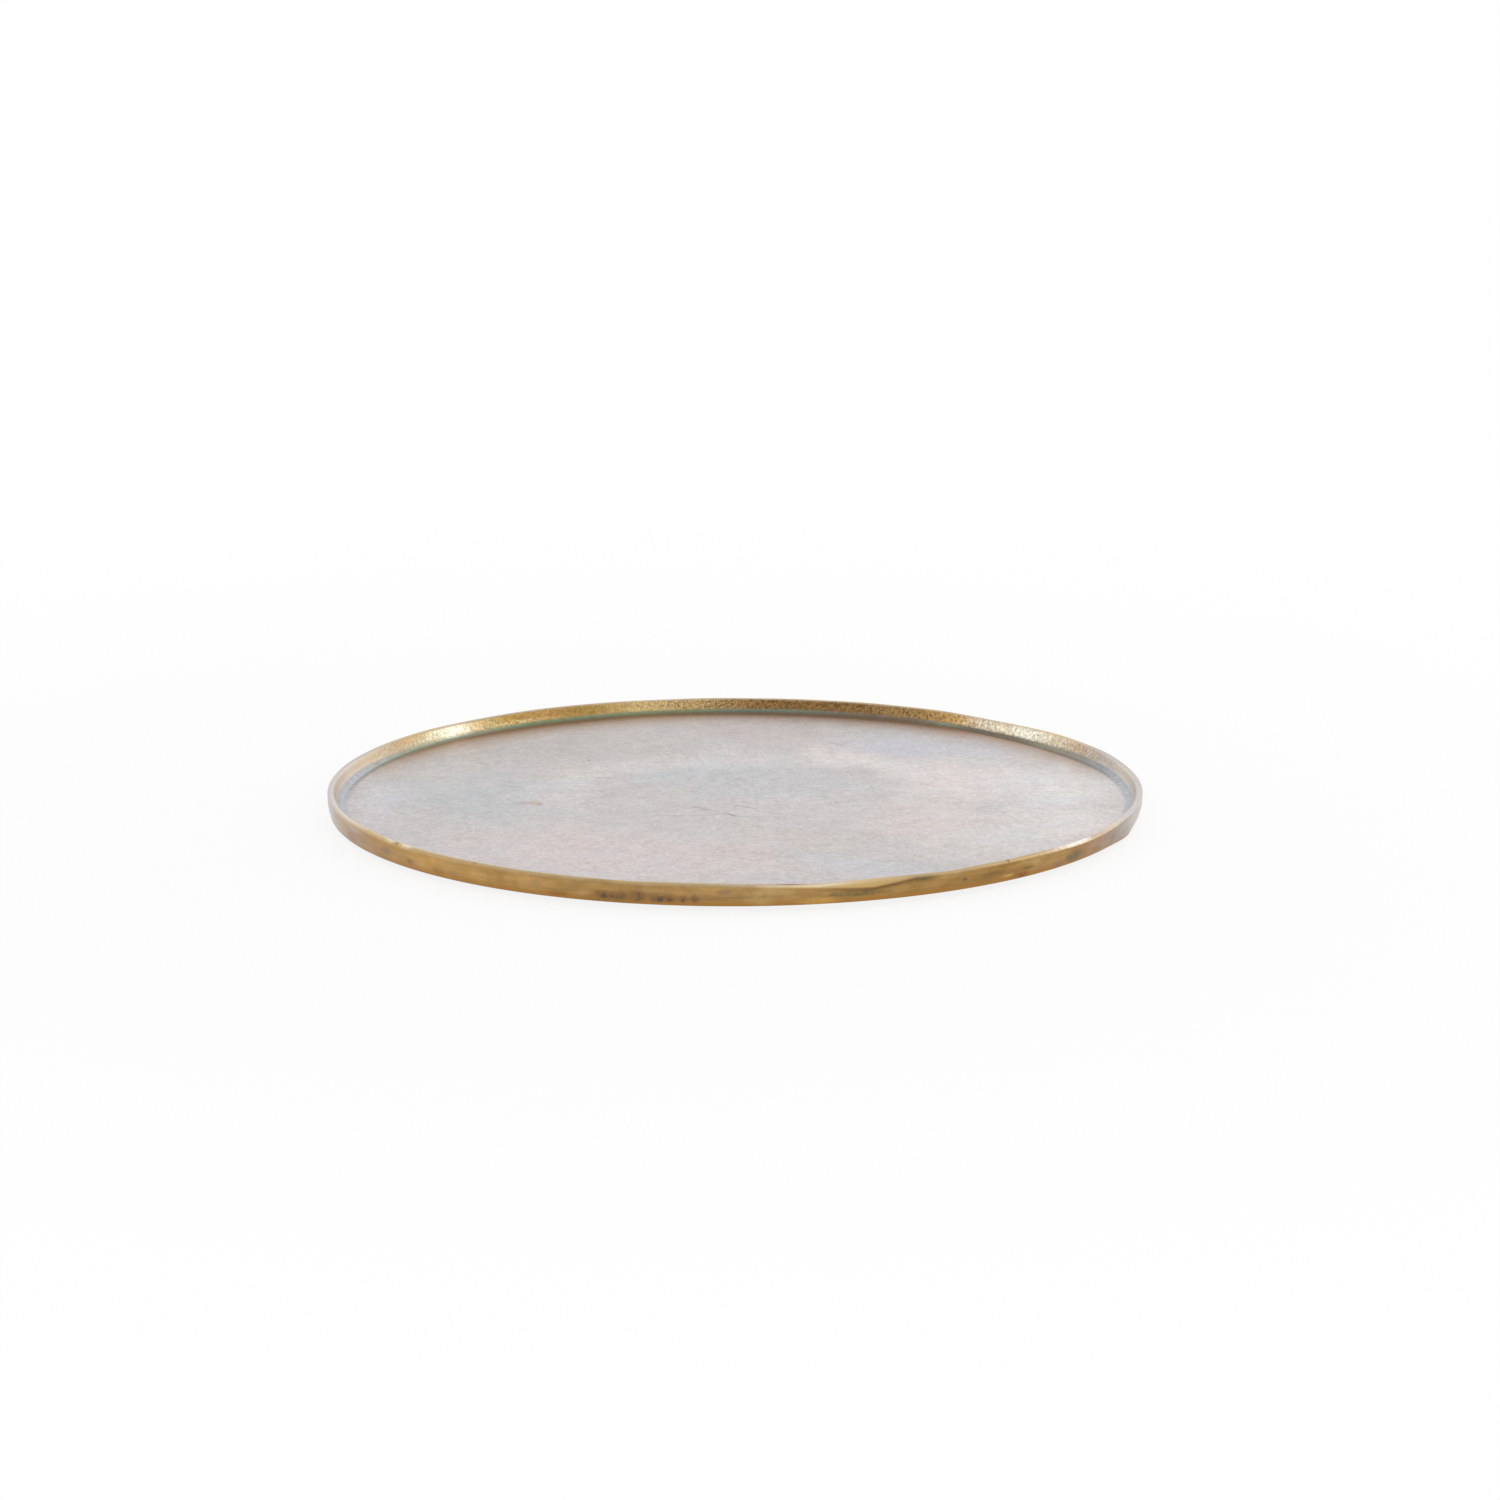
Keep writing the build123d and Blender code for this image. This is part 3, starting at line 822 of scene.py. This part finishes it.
# Lip: worn, with a few marks, two of them painted highlights.
def wornLip(cast, finish):
    lip = cast.tint["lip"]
    depth = finish["outerWall"]["markDepth"]
    for azimuth, wide, colour, share in lipMarks:
        patch = rimPatch(cast, azimuth, plateHigh.z, (wide, depth, depth), share, inset=finish["lipInset"])
        lip = addNode(cast.tree, "ShaderNodeMix", {mixShare: patch, colourUnder: lip,
                                                   colourOver: cast.paint[colour]}, **colourMix)
    return lip


# Ground flats: cream along the lip and gold lower down; on the second flat the cream is a painted highlight.
def groundFlats(cast):
    creamy = addNode(cast.tree, "ShaderNodeMath", {0: cast.on["lip"], 1: cast.field["cream"]},
                     operation="MULTIPLY")
    return addNode(cast.tree, "ShaderNodeMix", {mixShare: creamy, colourUnder: cast.paint["bevelFoot"],
                                                colourOver: cast.paint["bevelCreamAndHighlight"]}, **colourMix)


# Inner wall: sandy cast grain, coarser from the middle of the back to the right, with patches of gold
# and with painted glints on the grain's crests.
def innerWall(cast, finish):
    tree = cast.tree
    wall = finish["innerWall"]
    coarse = addNode(tree, "ShaderNodeMapRange", {"Value": cast.x, **wall["coarse"]})
    coarse = addNode(tree, "ShaderNodeMath", {0: coarse, 1: cast.atBack}, operation="MULTIPLY")
    grain = addNode(tree, "ShaderNodeMix", {mixShare: coarse, valueUnder: 1.0,
                                            valueOver: cast.light["castGrain"]})
    inner = addNode(tree, "ShaderNodeVectorMath", {0: cast.tint["inside"], "Scale": grain}, operation="SCALE")
    crests = addNode(tree, "ShaderNodeMapRange", {"Value": cast.value["glitter"], **wall["crests"]})
    for patches, colour, pattern in ((innerGold, "honey", cast.ragged), (grainGlints, "glint", crests)):
        for azimuth, height, wide, tall, share in patches:
            patch = rimPatch(cast, 180 - azimuth, height, (wide, wall["patchDepth"], tall), share)
            patch = addNode(tree, "ShaderNodeMath", {0: patch, 1: pattern}, operation="MULTIPLY")
            inner = addNode(tree, "ShaderNodeMix", {mixShare: patch, colourUnder: inner,
                                                    colourOver: cast.paint[colour]}, **colourMix)
    return inner


# Floor: patina clouds with drifting edges, a faint ring, mottling, fine grain, folds, creases,
# small marks and a brown tint along its edge, which is painted reflection of the gold wall and painted shade.
def patinatedFloor(cast, finish, zones):
    tree = cast.tree
    look = finish["floorLook"]
    drifted = pushedPlace(cast, look["drift"])
    floor = cast.paint["floor"]
    for cloud in floorClouds:
        share = softPatch(tree, drifted, (*cloud["at"], 0), (*cloud["reach"], 1),
                          math.radians(cloud.get("turn", 0)), cloud["share"], core=0.1)
        floor = addNode(tree, "ShaderNodeMix", {mixShare: share, colourUnder: floor,
                                                colourOver: toLinear(cloud["colour"])}, **colourMix)
    fromMiddle = addNode(tree, "ShaderNodeVectorMath", {0: drifted, 1: (*floorRing["at"], 0)}, out="Value",
                         operation="DISTANCE")
    offRing = addNode(tree, "ShaderNodeMath", {0: fromMiddle, 1: floorRing["radius"]}, operation="SUBTRACT")
    offRing = addNode(tree, "ShaderNodeMath", {0: offRing}, operation="ABSOLUTE")
    onRing = addNode(tree, "ShaderNodeMapRange", {"Value": offRing, "From Min": floorRing["halfWidth"],
                                                  "From Max": 0.0, "To Max": floorRing["share"]},
                     interpolation_type="SMOOTHSTEP")
    towardsBack = addNode(tree, "ShaderNodeMapRange", {"Value": cast.y, **floorRing["fades"]})
    onRing = addNode(tree, "ShaderNodeMath", {0: onRing, 1: towardsBack}, operation="MULTIPLY")
    floor = addNode(tree, "ShaderNodeMix", {mixShare: onRing, colourUnder: floor,
                                            colourOver: toLinear(floorRing["colour"])}, **colourMix)

    # Mottling, grain and fine folds darken and lighten it
    hue = addNode(tree, "ShaderNodeVectorMath", {0: cast.value["tone"], **look["hue"]},
                  operation="MULTIPLY_ADD")
    floor = addNode(tree, "ShaderNodeVectorMath", {0: floor, 1: hue}, operation="MULTIPLY")
    fold = addNode(tree, "ShaderNodeTexNoise", {"Vector": cast.level, "Scale": marksOf(look["foldSize"]),
                                                "Detail": look["foldDetail"]})
    fold = addNode(tree, "ShaderNodeMath", {0: fold, 1: 0.5}, operation="SUBTRACT")
    fold = addNode(tree, "ShaderNodeMath", {0: fold}, operation="ABSOLUTE")
    fold = addNode(tree, "ShaderNodeMapRange", {"Value": fold, **look["foldLine"]})
    creased = addNode(tree, "ShaderNodeMapRange", {"Value": cast.value["tone"], **look["foldShare"]})
    folded = addNode(tree, "ShaderNodeMath", {0: fold, 1: creased}, operation="MULTIPLY")
    folded = addNode(tree, "ShaderNodeMath", {0: 1.0, 1: folded}, operation="SUBTRACT")
    for factor in (cast.light["mottle"], cast.light["floorGrain"], folded):
        floor = addNode(tree, "ShaderNodeVectorMath", {0: floor, "Scale": factor}, operation="SCALE")

    # Creases, small marks and the brown edge of painted wall reflection and painted shade
    nudged = pushedPlace(cast, look["nudge"])
    for mark in floorMarks:
        share = softPatch(tree, nudged, (*mark["at"], 0), (*mark["reach"], 1),
                          math.radians(mark.get("turn", 0)), mark["share"])
        floor = addNode(tree, "ShaderNodeMix", {mixShare: share, colourUnder: floor,
                                                colourOver: toLinear(mark["colour"])}, **colourMix)
    edge = look["edge"]
    nearEdge = addNode(tree, "ShaderNodeMapRange", {"Value": cast.field["across"],
                                                    "From Min": zones["floor"] + edge["reach"],
                                                    "From Max": zones["floor"]})
    wallReflectionAndShadeShare = addNode(tree, "ShaderNodeMath", {0: nearEdge, 1: edge["power"]}, operation="POWER")
    for factor in (cast.atBack, edge["share"]):
        wallReflectionAndShadeShare = addNode(tree, "ShaderNodeMath", {0: wallReflectionAndShadeShare, 1: factor}, operation="MULTIPLY")
    return addNode(tree, "ShaderNodeMix", {mixShare: wallReflectionAndShadeShare, colourUnder: floor,
                                           colourOver: cast.paint["wallReflectionAndShade"]}, **colourMix)


def antiqueBrassCasting(finish, zones):
    material, tree, place = newMaterial("antiqueBrassCasting")
    axes = addNode(tree, "ShaderNodeSeparateXYZ", {0: place}).node.outputs
    paint = {name: toLinear(code) for name, code in finish["colours"].items()}
    cast = SimpleNamespace(tree=tree, place=place, x=axes["X"], y=axes["Y"], paint=paint)
    cast.level = addNode(tree, "ShaderNodeVectorMath", {0: place, 1: (1, 1, 0)}, operation="MULTIPLY")
    cast.field = {}
    for name in ("across", "pitted", "ground", "cream", "shadeBelowFlat"):
        cast.field[name] = addNode(tree, "ShaderNodeAttribute", out="Fac", attribute_name=name)
    castingPatterns(cast, finish)
    cast.aside = addNode(tree, "ShaderNodeMath", {0: cast.x}, operation="ABSOLUTE")
    cast.atBack = addNode(tree, "ShaderNodeMapRange", {"Value": cast.y, **finish["atBack"]})
    cast.ragged = addNode(tree, "ShaderNodeMapRange", {"Value": cast.value["speck"], **finish["ragged"]})
    finishZones(cast, finish, zones)
    tintsRoundRim(cast, finish)
    on = cast.on

    # Dirt with painted shade where cove and floor meet, further forward at the left end, and bare casting
    # below
    dirtAndShadeLine = addNode(tree, "ShaderNodeMath", {0: on["dirtAndShade"], 1: on["clear"]}, operation="SUBTRACT",
                       use_clamp=True)
    dirtAndShadeReach = addNode(tree, "ShaderNodeMath", {0: cast.atLeft, 1: finish["dirtAndShadeFurtherLeft"], 2: cast.y},
                        operation="MULTIPLY_ADD")
    dirtAndShadeStrength = addNode(tree, "ShaderNodeMapRange", {"Value": dirtAndShadeReach, **finish["atBack"]})
    dirtAndShadeLine = addNode(tree, "ShaderNodeMath", {0: dirtAndShadeLine, 1: dirtAndShadeStrength}, operation="MULTIPLY")
    dirtAndShadeShare = addNode(tree, "ShaderNodeMath", {0: dirtAndShadeLine, 1: finish["dirtAndShadeShare"]}, operation="MULTIPLY")
    under = addNode(tree, "ShaderNodeVectorMath", {0: paint["under"][:3], "Scale": cast.light["wallBlotch"]},
                    operation="SCALE")
    cove = addNode(tree, "ShaderNodeVectorMath", {0: cast.tint["cove"], "Scale": cast.light["speck"]},
                   operation="SCALE")

    # Everything together, from the outside in
    colour = outerWall(cast, finish)
    for share, over in ((on["lip"], wornLip(cast, finish)), (on["inside"], innerWall(cast, finish)),
                        (cast.field["ground"], groundFlats(cast)), (on["cove"], cove),
                        (on["floor"], patinatedFloor(cast, finish, zones)), (dirtAndShadeShare, paint["dirtAndShade"]),
                        (on["under"], under)):
        colour = addNode(tree, "ShaderNodeMix", {mixShare: share, colourUnder: colour, colourOver: over},
                         **colourMix)

    matt = addNode(tree, "ShaderNodeMath", {0: dirtAndShadeLine, 1: cast.field["pitted"]}, operation="MAXIMUM")
    metallic = addNode(tree, "ShaderNodeMapRange", {"Value": matt, **finish["metallic"]})
    rough = addNode(tree, "ShaderNodeMapRange", {"Value": cast.value["blotch"], **finish["noiseSpan"],
                                                 **finish["roughWall"]})
    grainRough = addNode(tree, "ShaderNodeMapRange", {"Value": cast.value["castGrain"], **finish["noiseSpan"],
                                                      **finish["roughGrain"]})
    fixed = finish["rough"]
    for share, over in ((on["edge"], fixed["edge"]), (on["inside"], grainRough),
                        (cast.field["ground"], fixed["ground"]), (on["floor"], fixed["floor"]),
                        (matt, fixed["matt"]), (on["under"], fixed["under"])):
        rough = addNode(tree, "ShaderNodeMix", {mixShare: share, valueUnder: rough, valueOver: over})

    # Relief: cast grain inside the rim and below, fine linish lines outside, a sandy skin on the floor
    inside = addNode(tree, "ShaderNodeMath", {0: on["inside"], 1: on["floor"]}, operation="SUBTRACT",
                     use_clamp=True)
    grainy = addNode(tree, "ShaderNodeMath", {0: inside, 1: on["under"]}, operation="MAXIMUM")
    outside = addNode(tree, "ShaderNodeMath", {0: 1.0, 1: on["inside"]}, operation="SUBTRACT")
    reliefOn = {"castGrain": grainy, "linish": outside, "floorGrain": on["floor"]}
    bumped = {}
    for name, (strength, depth) in finish["relief"].items():
        height = addNode(tree, "ShaderNodeMath", {0: cast.value[name], 1: reliefOn[name]},
                         operation="MULTIPLY")
        bumped = {"Normal": addNode(tree, "ShaderNodeBump", {
            "Height": height, "Strength": strength, "Distance": depth / perMetre, **bumped})}
    shader = addNode(tree, "ShaderNodeBsdfPrincipled", {"Base Color": colour, "Metallic": metallic,
                                                        "Roughness": rough, **bumped})
    addNode(tree, "ShaderNodeOutputMaterial", {"Surface": shader})
    return material


platePoints, (plateRings, plateColumns), plateFields, plateZones = plateSurface(plateShape)
brassMaterial = antiqueBrassCasting(brassFinish, plateZones)
addPiece("castPlate", platePoints, *turnedFaces(plateRings, plateColumns), brassMaterial,
         "antique_brass_casting", ["plate"], plateFields)
print("plate cast:", len(platePoints), "points")


# Felt pads: die-cut discs of pressed wool, crisp above where the film holds them and rubbed round below
feltPad = {
    "count": 4,
    "columns": 96,
    "rings": 6,                # on each flat, on the side and on each round
    "lowerRound": 0.5,
    "upperRound": 0.15,
    "seed": 20,                # the first pad has the next one
    "fuzz": 0.05,              # how far the fibres draw the side in
    "fuzzSwing": 0.6,
    "fuzzMost": 2,
    "fuzzWaves": (2.2, 5),     # millimetres round the pad, and rings along its section
    "fill": 0.95,
}
# Looks of felt and film: sizes of fibre and cloud in millimetres, and relief as strength and depth
feltLook = {"dark": "3A342E", "pale": "5A5249", "fibre": 0.35, "detail": 4.0, "raggedness": 0.7,
            "tangle": 1.5, "span": {"From Min": 0.3, "From Max": 0.7}, "relief": (0.7, 0.2), "rough": 0.95,
            "sheen": {"Sheen Weight": 0.4, "Sheen Roughness": 0.5}}
filmLook = {"dark": "C9C2AC", "pale": "DDD7C4", "cloud": 3.0, "detail": 3.0, "relief": (0.3, 0.1),
            "rough": {"To Min": 0.35, "To Max": 0.6}}


# A disc's section, turned about the pad's axis: flat below, a round, an upright side, a small round and flat
# above. Seeded swell draws the surface in a little, as pressed fibres lie.
def padSurface(shape, low, high, seed):
    draw = np.random.default_rng(seed)
    middle = (low + high) / 2
    outer = (high.x - low.x) / 2
    rings = shape["rings"]
    corners = [(0, low.z), (outer, low.z), (outer, high.z), (0, high.z)]
    section, _ = roundedSection(corners, (shape["lowerRound"], shape["upperRound"]), (rings, rings, rings),
                                (rings, rings))
    section = section[1:]                      # the first point is the pole
    azimuth = np.linspace(0, 2 * np.pi, shape["columns"], endpoint=False)
    ring, turn = np.meshgrid(np.arange(len(section)) * 1.0, azimuth, indexing="ij")
    radius = np.repeat(section[:, :1], len(azimuth), 1)
    height = np.repeat(section[:, 1:], len(azimuth), 1)
    uneven = 1 + shape["fuzzSwing"] * swell(draw, turn, ring, *shape["fuzzWaves"], outer)
    radius = radius * (1 - shape["fuzz"] * uneven.clip(0, shape["fuzzMost"]) / outer)
    points = np.stack([middle.x + radius * np.sin(turn), middle.y - radius * np.cos(turn), height], -1)
    poles = np.array([[middle.x, middle.y, low.z], [middle.x, middle.y, high.z]])
    return np.concatenate([poles[:1], points.reshape(-1, 3), poles[1:]]), len(section), len(azimuth)


# Pressed wool felt: matt dark taupe, with short fibres lying every way and a soft sheen along the edge.
def pressedFelt(look):
    material, tree, place = newMaterial("pressedFelt")
    fibre = addNode(tree, "ShaderNodeTexNoise", {"Vector": place, "Scale": marksOf(look["fibre"]),
                                                 "Detail": look["detail"], "Roughness": look["raggedness"],
                                                 "Distortion": look["tangle"]})
    share = addNode(tree, "ShaderNodeMapRange", {"Value": fibre, **look["span"]})
    colour = addNode(tree, "ShaderNodeMix", {mixShare: share, colourUnder: toLinear(look["dark"]),
                                             colourOver: toLinear(look["pale"])}, **colourMix)
    strength, depth = look["relief"]
    bump = addNode(tree, "ShaderNodeBump", {"Height": fibre, "Strength": strength,
                                            "Distance": depth / perMetre})
    shader = addNode(tree, "ShaderNodeBsdfPrincipled", {"Base Color": colour, "Roughness": look["rough"],
                                                        "Normal": bump, **look["sheen"]})
    addNode(tree, "ShaderNodeOutputMaterial", {"Surface": shader})
    return material


# Acrylic adhesive film: thin, waxy, cream, a little cloudy.
def adhesiveFilm(look):
    material, tree, place = newMaterial("adhesiveFilm")
    cloudy = addNode(tree, "ShaderNodeTexNoise", {"Vector": place, "Scale": marksOf(look["cloud"]),
                                                  "Detail": look["detail"]})
    colour = addNode(tree, "ShaderNodeMix", {mixShare: cloudy, colourUnder: toLinear(look["dark"]),
                                             colourOver: toLinear(look["pale"])}, **colourMix)
    rough = addNode(tree, "ShaderNodeMapRange", {"Value": cloudy, **look["rough"]})
    strength, depth = look["relief"]
    bump = addNode(tree, "ShaderNodeBump", {"Height": cloudy, "Strength": strength,
                                            "Distance": depth / perMetre})
    shader = addNode(tree, "ShaderNodeBsdfPrincipled", {"Base Color": colour, "Roughness": rough,
                                                        "Normal": bump})
    addNode(tree, "ShaderNodeOutputMaterial", {"Surface": shader})
    return material


feltMaterial = pressedFelt(feltLook)
filmMaterial = adhesiveFilm(filmLook)
for number in range(1, feltPad["count"] + 1):
    node = f"felt_pad_{number}"
    padLow, padHigh = (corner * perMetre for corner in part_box(node))
    padPoints, padRings, padColumns = padSurface(feltPad, padLow, padHigh, feltPad["seed"] + number)
    pad = addPiece(f"padFelt_{number}", padPoints, *turnedFaces(padRings, padColumns), feltMaterial, "felt",
                   [node])
    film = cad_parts[f"pad_adhesive_{number}"]
    film.data.materials.clear()
    film.data.materials.append(filmMaterial)
print("felt pads and films placed")
